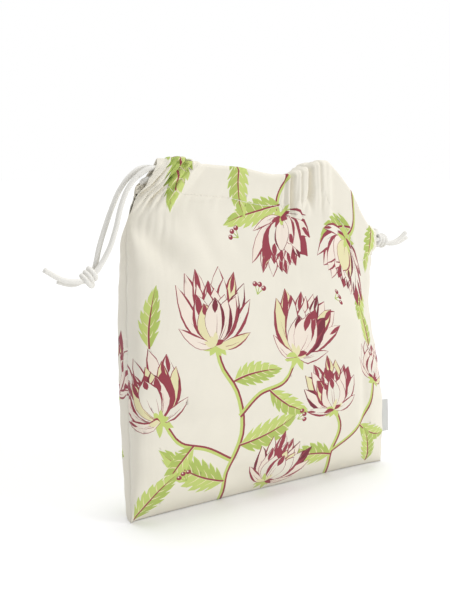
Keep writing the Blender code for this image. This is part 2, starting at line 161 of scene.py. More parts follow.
def slant(x):
    # how much longer the way down a sloping mouth's casing is than its height
    rise = (along(bag["mouthDrop"], x + 0.01) - along(bag["mouthDrop"], x - 0.01)) / 0.02
    return np.sqrt(1 + (rise / (0.42 * bag["width"])) ** 2)


def seamX(x, share, side=-1):
    # the back casing is drawn in a little further along its cord than the front one
    drawnIn = bag["backEndIn"] * ease(share, 0.915, 0.965) if side > 0 else 0
    left = -bag["width"] / 2 + along(bag["leftInset"], share) + drawnIn
    right = bag["width"] / 2 - along(bag["rightInset"], share)
    return bag["shift"] + (left + right) / 2 + x * (right - left) / 2


# Soft hollows and raised creases: ends (x, z), half width, and depth in or, below zero, height out
creases = {
    -1: (
        ((-0.138, 0.240), (-0.104, 0.207), 0.0105, 0.0080), ((-0.130, 0.254), (-0.092, 0.216), 0.010, -0.0020),
        ((-0.134, 0.109), (-0.091, 0.075), 0.011, 0.0042), ((-0.120, 0.090), (-0.070, 0.060), 0.010, -0.0012),
        ((0.085, 0.140), (0.091, 0.045), 0.0055, 0.0040), ((0.104, 0.100), (0.108, 0.030), 0.008, -0.0018),
        ((-0.060, 0.026), (-0.016, 0.018), 0.014, 0.0042), ((-0.088, 0.246), (-0.068, 0.200), 0.007, 0.0016),
        ((-0.062, 0.240), (-0.040, 0.205), 0.009, 0.0012), ((0.0050, 0.268), (0.0050, 0.238), 0.0026, 0.0022),
        ((0.0235, 0.262), (0.0150, 0.240), 0.0030, 0.0026), ((-0.0990, 0.2825), (-0.0985, 0.2800), 0.0018, 0.0060),
        ((0.048, 0.244), (0.066, 0.206), 0.007, 0.0018),
        ((0.070, 0.225), (0.092, 0.196), 0.007, 0.0016), ((0.060, 0.170), (0.094, 0.150), 0.010, 0.0020),
        ((-0.030, 0.150), (0.030, 0.120), 0.020, 0.0014), ((-0.110, 0.160), (-0.060, 0.140), 0.016, 0.0012),
        ((0.020, 0.070), (0.070, 0.050), 0.016, 0.0014),
    ),
    1: (
        ((0.100, 0.210), (0.050, 0.170), 0.012, 0.0034), ((-0.120, 0.215), (-0.080, 0.180), 0.010, 0.0028),
        ((-0.100, 0.110), (-0.040, 0.080), 0.014, 0.0024), ((0.110, 0.110), (0.070, 0.060), 0.012, 0.0026),
        ((0.000, 0.250), (0.012, 0.200), 0.007, 0.0018), ((0.030, 0.246), (0.048, 0.200), 0.006, 0.0018),
        ((-0.080, 0.244), (-0.060, 0.196), 0.007, 0.0016), ((-0.010, 0.150), (0.050, 0.130), 0.018, 0.0016),
    ),
}


def creaseDepth(side, px, pz):
    # a bell curve of the distance from each crease's line, deepest at the line's middle
    deep = 0
    for (x0, z0), (x1, z1), half, depth in creases[side]:
        dx, dz = x1 - x0, z1 - z0
        s = np.clip(((px - x0) * dx + (pz - z0) * dz) / (dx * dx + dz * dz), 0, 1)
        away = np.hypot(px - x0 - s * dx, pz - z0 - s * dz)
        deep = deep + depth * np.exp(-((away / half) ** 2)) * (0.4 + 0.6 * np.sin(np.pi * s))
    return deep


def wallDepth(side, x, z):
    # out from the seam plane: the depth that the wall has at this height, less its creases, times a bow that is 0 at
    # the seams and 1 in the middle
    top = mouthHeight(x, side)
    share = z / top
    below = (top - z) / slant(x)
    depth, shares = (bag["frontDepth"], bag["frontShare"]) if side < 0 else (bag["backDepth"], bag["backShare"])
    full = (depth - bag["cloth"] / 2) * along(shares, share)
    seam = 0.04 * bag["cloth"]
    # the seam ends below the casing, and from there up the two panels part round the cords
    vent = ease(below, bag["casing"] + 0.15 * bag["vent"], 0.80 * bag["casing"])
    parted = tunnel - bag["endNarrowing"] + bag["cloth"] / 2 + bag["mouthEndGap"] / 2
    end = seam + vent * casingEye(x, below) * (parted - seam)
    roundness = np.where(x < 0, bag["leftRoundness"], bag["rightRoundness"])
    roundness = roundness + (1 - roundness) * ease(below, bag["casing"] + 0.034, bag["casing"] + 0.002)
    bow = np.maximum(1 - np.abs(x) ** bag["fullness"], 0) ** roundness
    pucker = side * 0.0007 * np.sin(z * 290 + 2 * np.sin(z * 61)) * np.exp(-(1 - np.abs(x)) / 0.05) * (1 - vent)
    return end + (full - end - creaseDepth(side, seamX(x, share, side), z)) * bow + pucker * ease(z, 0.0, 0.02)


def wallProfile(side, x):
    # each column from the bottom seam up to the mouth; the back one goes along the floor first
    x = x[:, None]
    top = mouthHeight(x, side)
    seam = bag["cloth"] + bag["plyGap"] - wallDepth(-1, x, 0.0)
    climb = np.linspace(0, 1, 700)[None, :] * top
    out, up = wallDepth(side, x, climb), climb
    if side > 0:
        radius = np.minimum(bag["floorFold"], 0.6 * (wallDepth(side, x, 0.003) - seam).clip(0) + 1e-5)
        reach = wallDepth(side, x, radius)
        floor = np.linspace(0, 1, 24)[None, :-1]
        turn = np.linspace(0, np.pi / 2, 12)[None, :-1]
        climb = radius + np.linspace(0, 1, 700)[None, :] * (top - radius)
        out = [seam + floor * (reach - radius - seam), reach - radius + radius * np.sin(turn),
               wallDepth(side, x, climb)]
        up = [0 * (x + floor), radius - radius * np.cos(turn), climb]
        out, up = np.concatenate(out, axis=1), np.concatenate(up, axis=1)
    return seamX(x, up / top, side), seamPlane + side * out, np.maximum(up, bag["cloth"] / 2)


# One panel's flat cut in millimetres: the wall up to the fold at the mouth, and the casing turned in with its hem
flat = {"width": 290.0, "height": 285.0, "hem": 34.0}


def panelSurface(side, columns=460, rows=430):
    # the whole panel as a dense grid over its flat cut: wall rows, then the fold and the turned-in ply; and where
    # on the flat cut the casing is stitched
    fine = np.linspace(-1, 1, 6001)
    lengths = np.hypot(np.diff(seamX(fine, 0.4)), np.diff(wallDepth(side, fine, 0.4 * mouthHeight(fine, side))))
    run = np.concatenate([[0], np.cumsum(lengths)])
    x = np.interp(np.linspace(0, run[-1], columns), run, fine)
    across, out, up = wallProfile(side, x)
    steps = np.sqrt(np.diff(across) ** 2 + np.diff(out) ** 2 + np.diff(up) ** 2)
    run = np.concatenate([np.zeros((columns, 1)), np.cumsum(steps, axis=1)], axis=1)
    top = mouthHeight(x, side)
    wall, stitched = np.empty((rows, columns, 3)), np.empty(columns)
    for i in range(columns):
        lean = slant(x[i:i + 1])[0]
        last = run[i, -1] - bag["hemLoop"][0][1] * bag["casing"] * lean
        stitched[i] = flat["height"] * (run[i, -1] - bag["casing"] * lean) / last
        stations = np.linspace(0, last, rows)
        for axis, values in enumerate((across, out, up)):
            wall[:, i, axis] = np.interp(stations, run[i], values[i])
    below = (top[None, :] - wall[:, :, 2]) / slant(x)
    wall[:, :, 1] += side * gatherRise(x, below, side)
    ply = bag["cloth"] + bag["hemGap"]
    loop = [(k, inward, down * bag["casing"]) for k, (inward, down) in enumerate(bag["hemLoop"])]
    loop.append((len(loop), ply / tunnel, bag["casing"]))
    loop = np.array(loop)
    place = np.linspace(0, len(loop) - 1, 90)[1:]
    hem = []
    for inward, down in zip(along(loop[:, [0, 1]], place), along(loop[:, [0, 2]], place)):
        height = top - down * slant(x)
        sewn = ease(down, 0.6 * bag["casing"], bag["casing"])
        puff = gatherRise(x, down, side) * (sewn + (1 - sewn) * (1 - 1.4 * inward))
        room = tunnelDepth(x, down)
        depth = wallDepth(side, x, height) - (inward * room + sewn * (ply - ply * room / tunnel)) + puff
        hem.append(np.stack([seamX(x, height / top, side), seamPlane + side * depth, height], axis=1))
    middle = columns // 2
    hem = np.array(hem)
    gone = np.linalg.norm(np.diff(np.concatenate([wall[-1:], hem])[:, middle], axis=0), axis=1).cumsum()
    v = np.concatenate([np.linspace(0, flat["height"], rows), flat["height"] + flat["hem"] * gone / gone[-1]])
    u = np.linspace(0, flat["width"], columns)
    return (u, v, np.concatenate([wall, hem])), stitched


def onSurface(surface, points):
    # the place in space of points of the flat cut, between the dense grid's own points
    u, v, grid = surface
    i = np.clip(np.searchsorted(u, points[:, 0]) - 1, 0, len(u) - 2)
    j = np.clip(np.searchsorted(v, points[:, 1]) - 1, 0, len(v) - 2)
    s = np.clip((points[:, 0] - u[i]) / (u[i + 1] - u[i]), 0, 1)[:, None]
    t = np.clip((points[:, 1] - v[j]) / (v[j + 1] - v[j]), 0, 1)[:, None]
    low = grid[j, i] * (1 - s) + grid[j, i + 1] * s
    high = grid[j + 1, i] * (1 - s) + grid[j + 1, i + 1] * s
    return low * (1 - t) + high * t


# Materials

def addNode(tree, kind, settings=None, **links):
    node = tree.nodes.new(kind)
    for key, value in (settings or {}).items():
        if isinstance(key, str) and hasattr(node, key):
            setattr(node, key, value)
        else:
            node.inputs[key].default_value = value
    for name, output in links.items():
        key = int(name[1:]) if name[0] == "i" and name[1:].isdigit() else name.replace("_", " ")
        tree.links.new(output, node.inputs[key])
    return node


def newMaterial(name, colour, roughness, **settings):
    material = bpy.data.materials.new(name)
    material.use_nodes = True
    shader = material.node_tree.nodes["Principled BSDF"]
    shader.inputs["Base Color"].default_value = linear(colour)
    shader.inputs["Roughness"].default_value = roughness
    for key, value in settings.items():
        shader.inputs[key.replace("_", " ")].default_value = value
    return material, material.node_tree, shader


# The weave's waves are 2 pi / 20 / 290 m = 1.08 mm long: its 0.55 mm threads are too fine to show, so they are drawn
# twice as coarse. The braid's strands cross every 2.2 mm, six round the cord each way
cottonWeave = {"scale": 290, "distortion": 0.6, "relief": 0.00012, "strength": 0.35, "inkShade": (0.955, 1.03)}
# the braid's shade is painted shade: the cord's colour is darker in the grooves between its strands
cordBraid = {"pitch": 0.0022, "strands": 6, "relief": 0.0001, "strength": 0.25, "shade": (0.93, 1.01)}


def cottonCloth(name, colour, roughness=0.88):
    # plain-weave cotton canvas: it looks matt and woven, with a faint bloom at grazing angles and uneven ink
    material, tree, shader = newMaterial(name, colour, roughness, Sheen_Weight=0.12, Sheen_Roughness=0.5)
    shader.inputs["Specular IOR Level"].default_value = 0.25
    place = addNode(tree, "ShaderNodeTexCoord")
    cloud = addNode(tree, "ShaderNodeTexNoise", {"Scale": 55, "Detail": 4}, Vector=place.outputs["Object"])
    low, high = cottonWeave["inkShade"]
    tint = addNode(tree, "ShaderNodeMapRange", {"To Min": low, "To Max": high}, Value=cloud.outputs["Fac"])
    mix = addNode(tree, "ShaderNodeVectorMath", {"operation": "SCALE", 0: linear(colour)[:3]},
                  Scale=tint.outputs["Result"])
    tree.links.new(mix.outputs["Vector"], shader.inputs["Base Color"])
    across, up = (addNode(tree, "ShaderNodeTexWave", {
        "bands_direction": way, "Scale": cottonWeave["scale"], "Distortion": cottonWeave["distortion"], "Detail": 1,
    }, Vector=place.outputs["UV"]) for way in ("X", "Y"))
    weave = addNode(tree, "ShaderNodeMath", {"operation": "MAXIMUM"}, i0=across.outputs["Fac"], i1=up.outputs["Fac"])
    bump = addNode(tree, "ShaderNodeBump", {"Strength": cottonWeave["strength"], "Distance": cottonWeave["relief"]},
                   Height=weave.outputs["Value"])
    tree.links.new(bump.outputs["Normal"], shader.inputs["Normal"])
    return material


def braidedCord(name, colour):
    # braided cotton cord: it looks soft and plaited, with a fine herringbone along the tube's own length and turn
    material, tree, shader = newMaterial(name, colour, 0.8, Sheen_Weight=0.2, Sheen_Roughness=0.5)
    shader.inputs["Specular IOR Level"].default_value = 0.3
    place = addNode(tree, "ShaderNodeTexCoord")
    split = addNode(tree, "ShaderNodeSeparateXYZ", Vector=place.outputs["UV"])
    waves = []
    for way in (1, -1):
        turn = addNode(tree, "ShaderNodeMath", {"operation": "MULTIPLY", 1: way * cordBraid["strands"] * 2 * np.pi},
                       i0=split.outputs["Y"])
        run = addNode(tree, "ShaderNodeMath", {"operation": "MULTIPLY_ADD", 1: 2 * np.pi / cordBraid["pitch"]},
                      i0=split.outputs["X"], i2=turn.outputs["Value"])
        waves.append(addNode(tree, "ShaderNodeMath", {"operation": "SINE"}, i0=run.outputs["Value"]))
    braid = addNode(tree, "ShaderNodeMath", {"operation": "MAXIMUM"}, i0=waves[0].outputs["Value"],
                    i1=waves[1].outputs["Value"])
    bump = addNode(tree, "ShaderNodeBump", {"Strength": cordBraid["strength"], "Distance": cordBraid["relief"]},
                   Height=braid.outputs["Value"])
    tree.links.new(bump.outputs["Normal"], shader.inputs["Normal"])
    # painted shade: the cord's colour darkens in the grooves between the strands and lightens a little on their crowns
    low, high = cordBraid["shade"]
    shade = addNode(tree, "ShaderNodeMapRange", {"From Min": -1, "From Max": 1, "To Min": low, "To Max": high},
                    Value=braid.outputs["Value"])
    mix = addNode(tree, "ShaderNodeVectorMath", {"operation": "SCALE", 0: linear(colour)[:3]},
                  Scale=shade.outputs["Result"])
    tree.links.new(mix.outputs["Vector"], shader.inputs["Base Color"])
    return material


inks = ("cream", "burgundy", "darkBurgundy", "lime", "green", "yellow", "pink")
printed = [cottonCloth("cotton_" + ink, ink) for ink in inks]
wrongSide = cottonCloth("cotton_wrong_side", "wrongSide")
cordMaterial = braidedCord("braided_cotton", "cord")
# a little smoother than the cloth, so that the thread and the ribbon look finer
threadMaterial = cottonCloth("sewing_thread", "thread", 0.7)
labelMaterial = cottonCloth("woven_ribbon", "label", 0.6)


# The print: outlines in millimetres of the flat cut, painted in order, later ones on top

def smoothLine(points, count):
    # a smooth curve through the points, in even parts of their distances
    points = np.array(points, float)
    chord = np.concatenate([[0], np.cumsum(np.linalg.norm(np.diff(points, axis=0), axis=1))])
    at = np.linspace(0, chord[-1], count)
    return np.stack([along(np.stack([chord, points[:, k]], axis=1), at) for k in range(points.shape[1])], axis=1)


def placed(shape, x, y, heading):
    # turned by its heading, then moved
    turn = np.radians(heading)
    way = np.array([[np.cos(turn), np.sin(turn)], [-np.sin(turn), np.cos(turn)]])
    return shape @ way + (x, y)


def petalOutline(length, width, fullness, bend, count=8):
    # widest at the share fullness of its length and pointed at both ends, as (place along, upper, lower) edges
    t = np.linspace(0, 1, count)
    half = 0.5 * width * np.sin(np.pi * t ** (np.log(0.5) / np.log(fullness))) ** 0.85
    middle = bend * length * t ** 2
    return t, t * length, middle, half


def closed(along1, edge1, along2, edge2):
    return np.concatenate([np.stack([along1, edge1], axis=1), np.stack([along2, edge2], axis=1)[::-1]])


def bladeOutline(run, middle, half):
    # both edges of a blade that is pointed at its ends
    return closed(run, middle + half, run[1:-1], (middle - half)[1:-1])


def petal(length, width, turn, fill, dark, rng, fullness, curl, flames, rim=0.40):
    # a pale petal with a thin dark rim, and flames of the dark ink that lick down from its tip and its edges
    bend = -curl * turn + rng.uniform(-0.04, 0.04)
    t, run, middle, half = petalOutline(length, width, fullness, bend)
    grown = run * (1 + 1.4 * rim / length)
    shapes = [(dark, bladeOutline(grown, middle, half + rim)), (fill, bladeOutline(run, middle, half))]
    for k in range(flames):
        side = 1 if (k + rng.integers(2)) % 2 else -1
        start, deep = rng.uniform(0.10, 0.50), rng.uniform(0.14, 0.48)
        s = np.clip((t - start) / (1 - start), 0, 1)
        inner = half * (1 - deep * np.sin(np.pi * s ** rng.uniform(0.6, 1.5)))
        keep = t >= start - 0.12
        shapes.append((dark, closed(run[keep], (middle + side * half)[keep], run[keep], (middle + side * inner)[keep])))
    if rng.uniform() < 0.40:
        tip = np.linspace(rng.uniform(0.55, 0.78), 1, 5)
        wide = np.interp(tip, t, half) * np.linspace(0, 0.9, 5) ** 0.8
        shapes.append((dark, bladeOutline(tip * length, bend * length * tip ** 2, wide)))
    for k in range(rng.integers(1, 3)):
        s = np.linspace(0.06, rng.uniform(0.40, 0.72), 4)
        off = rng.uniform(-0.22, 0.22) * width
        line = np.stack([s * length, bend * length * s ** 2 + off * np.sin(np.pi * s)], axis=1)
        shapes.append((dark, ribbon(line, (0.55, 0.45, 0.08))))
    return [(ink, placed(shape, 0, 0, turn)) for ink, shape in shapes]


def leafShape(length, width, bend, teeth, sides=(1, 1)):
    # lobes whose points hook forward over the notch that follows them
    places, shares = [0.0], [0.0]
    for k in range(teeth):
        start, step = 0.06 + 0.84 * k / teeth, 0.84 / teeth
        places += [start + 0.05 * step, start + 0.55 * step, start + 1.30 * step, start + 0.98 * step]
        shares += [0.70, 0.95, 1.12, 0.72]
    places, shares = np.array(places + [1.0]), np.array(shares + [0.0])
    envelope = 0.5 * width * np.sin(np.pi * np.clip(places, 0, 0.985) ** 0.82) ** 0.75
    half = envelope * shares
    middle = bend * length * places ** 2
    return closed(places * length, middle + sides[0] * half, places[1:-1] * length, (middle - sides[1] * half)[1:-1])


def ribbon(line, widths, offset=0.0):
    # the line moved to both sides by half its width, and set off to one side
    line = np.array(line, float)
    way = np.gradient(line, axis=0)
    way /= np.linalg.norm(way, axis=1)[:, None]
    side = np.stack([-way[:, 1], way[:, 0]], axis=1)
    half = np.interp(np.linspace(0, 1, len(line)), np.linspace(0, 1, len(widths)), widths)[:, None] / 2
    return np.concatenate([line + side * (offset + half), (line + side * (offset - half))[::-1]])


def stem(line, width):
    line = smoothLine(line, 22)
    return [("lime", ribbon(line, (width, width, 0.8 * width))),
            ("burgundy", ribbon(line, (0.45 * width, 0.40 * width, 0.35 * width), -0.32 * width))]


def leaf(x, y, heading, length, width, bend=0.15, teeth=6):
    t = np.linspace(0, 0.90, 14)
    rib = np.stack([t * length, bend * length * t ** 2], axis=1)
    shapes = [("lime", leafShape(length, width, bend, teeth)),
              ("green", leafShape(length, 0.94 * width, bend, teeth, (0.04, 1)))]
    for k in range(1, teeth):
        place = 0.06 + 0.84 * (k - 0.35) / teeth
        start = np.array([place * length, bend * length * place ** 2])
        reach = 0.5 * width * np.sin(np.pi * place ** 0.82) ** 0.75
        for side in (-1, 1):
            vein = [start, start + (0.05 * length, side * 0.34 * reach), start + (0.12 * length, side * 0.66 * reach)]
            shapes.append(("yellow", ribbon(vein, (0.9, 0.8, 0.1))))
    shapes.append(("burgundy", ribbon(rib, (1.9, 1.5, 1.1, 0.2))))
    shapes.append(("yellow", ribbon(rib[:9], (0.5, 0.4, 0.1), 0.9)))
    return [(ink, placed(shape, x, y, heading)) for ink, shape in shapes]


def blossom(x, y, heading, size, seed):
    # a cupped bloom: tall petals behind, broad short ones in front, loose ones and green sepals at its foot
    rng = np.random.default_rng(seed)
    shapes = []
    for turn in (-150, -118, 122, 154):
        reach = size * rng.uniform(0.18, 0.26)
        sepal = bladeOutline(*petalOutline(reach, 0.11 * size, 0.4, rng.uniform(-0.3, 0.3))[1:])
        shapes.append(("lime", placed(sepal, 0.03 * size, 0, turn + rng.uniform(-9, 9))))
    # the rows of petals: count, spread, length, width, curl, place of the widest part, flames
    layers = (
        (5, 46, 0.98, 0.26, 0.0060, 0.60, 2), (6, 64, 0.86, 0.24, 0.0062, 0.60, 3),
        (4, 92, 0.56, 0.15, 0.0045, 0.55, 2), (5, 44, 0.76, 0.28, 0.0070, 0.58, 2),
        (3, 30, 0.62, 0.32, 0.0070, 0.56, 1),
    )
    pale = ("cream", "pink", "yellow", "cream", "pink")
    for row, (count, spread, reach, wide, curl, fullness, flames) in enumerate(layers):
        turns = spread * (2 * np.arange(count) / (count - 1) - 1)
        for turn in sorted(turns, key=lambda a: -abs(a) if row != 3 else abs(a)):
            length, width = size * reach * rng.uniform(0.90, 1.06), size * wide * rng.uniform(0.88, 1.15)
            fill, dark = pale[rng.integers(5)], "burgundy" if rng.uniform() < 0.88 else "darkBurgundy"
            if row in (0, 3) and rng.uniform() < 0.16:
                fill = "burgundy"
            shapes += petal(length, width, turn + rng.uniform(-5, 5), fill, dark, rng, fullness, curl, flames)
    for turn in (-78, -40, 6, 48, 84):
        reach = size * rng.uniform(0.14, 0.24)
        loose = bladeOutline(*petalOutline(reach, 0.08 * size, 0.5, rng.uniform(-0.4, 0.4), 7)[1:])
        ink = ("burgundy", "lime", "yellow")[rng.integers(3)]
        shapes.append((ink, placed(loose, 0, 0, turn + rng.uniform(-8, 8))))
    return [(ink, placed(shape, x, y, heading)) for ink, shape in shapes]


def berries(x, y, heading, size, count=3):
    shapes = []
    for k in range(count):
        turn = heading + (k - (count - 1) / 2) * 34
        tip = placed(np.array([[3.4 * size, 0]]), x, y, turn)[0]
        shapes.append(("green", ribbon(smoothLine([(x, y), (tip + (x, y)) / 2, tip], 5), (0.9, 0.7))))
        ring = np.linspace(0, 2 * np.pi, 15)[:-1]
        shapes.append(("burgundy", tip + size * np.stack([np.cos(ring), 0.85 * np.sin(ring)], axis=1)))
        glint = np.stack([np.cos(ring), np.sin(ring)], axis=1)
        shapes.append(("pink", tip + (-0.3 * size, 0.3 * size) + 0.3 * size * glint))
    return shapes


# Stems by their points and width; leaves by foot, heading, length, width, bend and teeth; blossoms by foot, heading,
# size and seed; berries by foot, heading and size
frontPrint = [
    *stem([(98, -4), (95, 36), (106, 74), (100, 108), (86, 130), (82, 148)], 4.8),
    *stem([(103, 86), (124, 104), (150, 112), (166, 132)], 4.0),
    *stem([(96, 48), (72, 62), (46, 70), (32, 88)], 4.0),
    *stem([(216, -4), (207, 30), (214, 60), (206, 76)], 4.4),
    *stem([(208, 34), (234, 52), (254, 82), (262, 112)], 3.6),
    *stem([(152, 290), (146, 268), (152, 250)], 4.0),
    *stem([(238, 290), (244, 262), (236, 240)], 3.8),
    *leaf(94, 26, 160, 74, 27, -0.18, 7), *leaf(104, 60, 8, 64, 24, 0.20, 6), *leaf(98, 116, 22, 50, 20, -0.24, 6),
    *leaf(60, 66, 226, 44, 17, 0.15, 5), *leaf(208, 30, 164, 60, 22, 0.16, 6), *leaf(240, 58, -34, 48, 19, 0.20, 5),
    *leaf(134, 106, -46, 50, 18, 0.22, 5), *leaf(150, 262, 190, 60, 22, 0.20, 6), *leaf(20, 304, -58, 62, 21, -0.20, 6),
    *leaf(240, 256, -150, 52, 20, 0.18, 5), *leaf(262, 8, 96, 50, 18, 0.2, 6), *leaf(12, 2, 62, 56, 20, -0.22, 6),
    *leaf(276, 290, -104, 56, 20, 0.15, 6), *leaf(88, 300, -74, 58, 20, 0.2, 6), *leaf(262, 212, -96, 40, 15, -0.2, 5),
    *leaf(262, 150, 84, 44, 15, 0.22, 5), *leaf(22, 142, 92, 46, 17, -0.2, 5),
    *blossom(82, 146, 86, 60, 3), *blossom(166, 130, 66, 60, 4), *blossom(31, 86, 114, 54, 5),
    *blossom(206, 74, 98, 50, 6), *blossom(263, 110, 68, 46, 7), *blossom(153, 252, -82, 52, 8),
    *blossom(235, 242, -98, 54, 9), *blossom(140, 14, 64, 52, 10),
    *berries(128, 188, 70, 2.6), *berries(216, 178, 30, 2.4), *berries(164, 74, 20, 2.4),
    *berries(56, 36, 120, 2.4), *berries(110, 232, 150, 2.4),
]
backPrint = [
    *stem([(60, -4), (66, 40), (54, 80), (68, 116), (66, 146)], 4.8),
    *stem([(58, 66), (88, 88), (122, 92), (144, 112)], 4.0),
    *stem([(192, -4), (198, 34), (190, 70), (206, 110), (202, 146)], 4.6),
    *stem([(197, 54), (228, 74), (252, 80), (264, 104)], 3.8),
    *stem([(112, 290), (120, 268), (114, 248)], 4.0),
    *stem([(222, 290), (230, 266), (224, 246)], 3.8),
    *leaf(64, 26, 14, 66, 24, 0.18, 7), *leaf(60, 96, 152, 52, 20, -0.18, 6), *leaf(196, 24, 166, 66, 24, 0.16, 7),
    *leaf(194, 82, 142, 50, 19, 0.2, 6), *leaf(232, 74, -36, 50, 19, 0.2, 6), *leaf(116, 262, 8, 60, 22, 0.16, 6),
    *leaf(104, 92, -42, 46, 17, 0.2, 5), *leaf(14, 4, 74, 54, 19, -0.2, 6), *leaf(264, 10, 104, 50, 18, 0.2, 6),
    *leaf(226, 262, -168, 54, 20, 0.18, 5), *leaf(20, 296, -70, 60, 21, 0.2, 6), *leaf(144, 150, 110, 44, 15, 0.2, 5),
    *blossom(66, 144, 96, 60, 11), *blossom(145, 110, 60, 56, 12), *blossom(202, 144, 84, 60, 13),
    *blossom(265, 102, 72, 48, 14), *blossom(114, 250, -96, 52, 15), *blossom(24, 196, 70, 50, 16),
    *blossom(224, 248, -84, 52, 17), *blossom(128, 14, 100, 50, 18),
    *berries(26, 64, 100, 2.6), *berries(164, 196, 60, 2.4), *berries(244, 40, 60, 2.4), *berries(160, 40, 60, 2.4),
]


def covers(shape, points):
    # which points the outline winds round
    winding = np.zeros(len(points), int)
    for (x0, y0), (x1, y1) in zip(shape, np.roll(shape, -1, axis=0)):
        left = (x1 - x0) * (points[:, 1] - y0) - (points[:, 0] - x0) * (y1 - y0)
        winding += ((y0 <= points[:, 1]) & (y1 > points[:, 1]) & (left > 0)).astype(int)
        winding -= ((y0 > points[:, 1]) & (y1 <= points[:, 1]) & (left < 0)).astype(int)
    return winding != 0


def latticeLines():
    # columns 2.4 mm apart, or 0.95 mm in the gathers; rows up the wall, close ones round the fold, and a few on the hem
    u = np.linspace(0, flat["width"], 4001)
    x = 2 * u / flat["width"] - 1
    apart = 2.4 - 1.45 * np.minimum(1, 1.3 * gatherZone(x[1:]))
    count = np.concatenate([[0], np.cumsum(np.diff(u) / apart)])
    across = np.interp(np.linspace(0, count[-1], int(count[-1]) + 1), count, u)
    fold = flat["height"]
    return across, np.concatenate([np.linspace(0, fold - 4, 110), np.linspace(fold - 3, fold + 12, 13),
                                   np.linspace(fold + 14, fold + flat["hem"], 8)])


def triangulated(points, edges, nearness):
    made = delaunay_2d_cdt([Vector(p) for p in points.tolist()], edges, [], 0, nearness, False)
    return np.array([tuple(p) for p in made[0]]), np.array(made[2])


def inkOf(verts, faces, shapes):
    # the last painted outline over each triangle's middle gives its ink
    centres = verts[faces].mean(axis=1)
    ink = np.zeros(len(faces), int)
    for colour, shape in shapes:
        low, high = shape.min(axis=0), shape.max(axis=0)
        near = np.flatnonzero(((centres >= low) & (centres <= high)).all(axis=1))
        ink[near[covers(shape, centres[near])]] = inks.index(colour)
    return ink


def printedMesh(shapes, mirrored):
    # the flat cut as triangles that keep to every outline of the print, each with its ink's material
    across, up = latticeLines()
    lattice = np.stack(np.meshgrid(across, up), axis=-1).reshape(-1, 2)
    points, edges = [lattice], []
    limit = np.array([flat["width"], flat["height"] + flat["hem"]])
    count = len(lattice)
    shapes = [(ink, np.array(shape)) for ink, shape in shapes]
    if mirrored:
        shapes = [(ink, shape * (-1, 1) + (flat["width"], 0)) for ink, shape in shapes]
    for ink, shape in shapes:
        kept = np.clip(shape, 0.05, limit - 0.05)
        points.append(kept)
        edges += [(count + i, count + (i + 1) % len(kept)) for i in range(len(kept))]
        count += len(kept)
    verts, faces = triangulated(np.concatenate(points), edges, 1e-4)
    ink = inkOf(verts, faces, shapes)
    # once more, with only the outlines that show: the edges between two inks
    pairs = np.sort(faces[:, [0, 1, 1, 2, 2, 0]].reshape(-1, 2), axis=1)
    order = np.lexsort((pairs[:, 1], pairs[:, 0]))
    twins = (pairs[order[1:]] == pairs[order[:-1]]).all(axis=1)
    one, other = order[:-1][twins], order[1:][twins]
    shown = pairs[one[ink[one // 3] != ink[other // 3]]]
    used, places = np.unique(shown, return_inverse=True)
    edges = (places.reshape(-1, 2) + len(lattice)).tolist()
    verts, faces = triangulated(np.concatenate([lattice, verts[used]]), edges, 0.04)
    return verts, faces, inkOf(verts, faces, shapes)


def meshObject(name, verts, faces, materials, slots=None, uv=None):
    data = bpy.data.meshes.new(name)
    data.from_pydata(np.asarray(verts).tolist(), [], faces.tolist() if isinstance(faces, np.ndarray) else faces)
    for material in materials:
        data.materials.append(material)
    if slots is not None:
        data.polygons.foreach_set("material_index", np.asarray(slots, np.int32))
    if uv is not None:
        layer = data.uv_layers.new(name="UVMap")
        loops = np.empty(len(data.loops), np.int32)
        data.loops.foreach_get("vertex_index", loops)
        layer.data.foreach_set("uv", np.asarray(uv, np.float32)[loops].reshape(-1))
    data.shade_smooth()
    obj = bpy.data.objects.new(name, data)
    bpy.context.scene.collection.objects.link(obj)
    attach(obj, "root")
    return obj


# The two panels
panels = {}
for name, side, shapes in (("frontPanel", -1, frontPrint), ("backPanel", 1, backPrint)):
    surface, stitched = panelSurface(side)
    flatPoints, triangles, ink = printedMesh(shapes, side > 0)
    space = onSurface(surface, flatPoints)
    if side > 0:
        triangles = triangles[:, ::-1]
    panel = meshObject(name, space, triangles, printed + [wrongSide] * len(inks), ink, flatPoints / 1000)
    cloth = panel.modifiers.new("Cloth", "SOLIDIFY")
    cloth.thickness, cloth.offset, cloth.material_offset = bag["cloth"], 0, len(inks)
    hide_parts("front_panel" if side < 0 else "back_panel")
    panels[side] = (surface, stitched)
    print("panel", name, len(flatPoints), len(triangles))


def quadsOf(index):
    # a grid of point numbers as its quads
    return np.stack([index[:-1, :-1], index[:-1, 1:], index[1:, 1:], index[1:, :-1]], axis=-1).reshape(-1, 4)


# The cords: the same route as the CAD cords', as tubes with their own length and turn for the braid

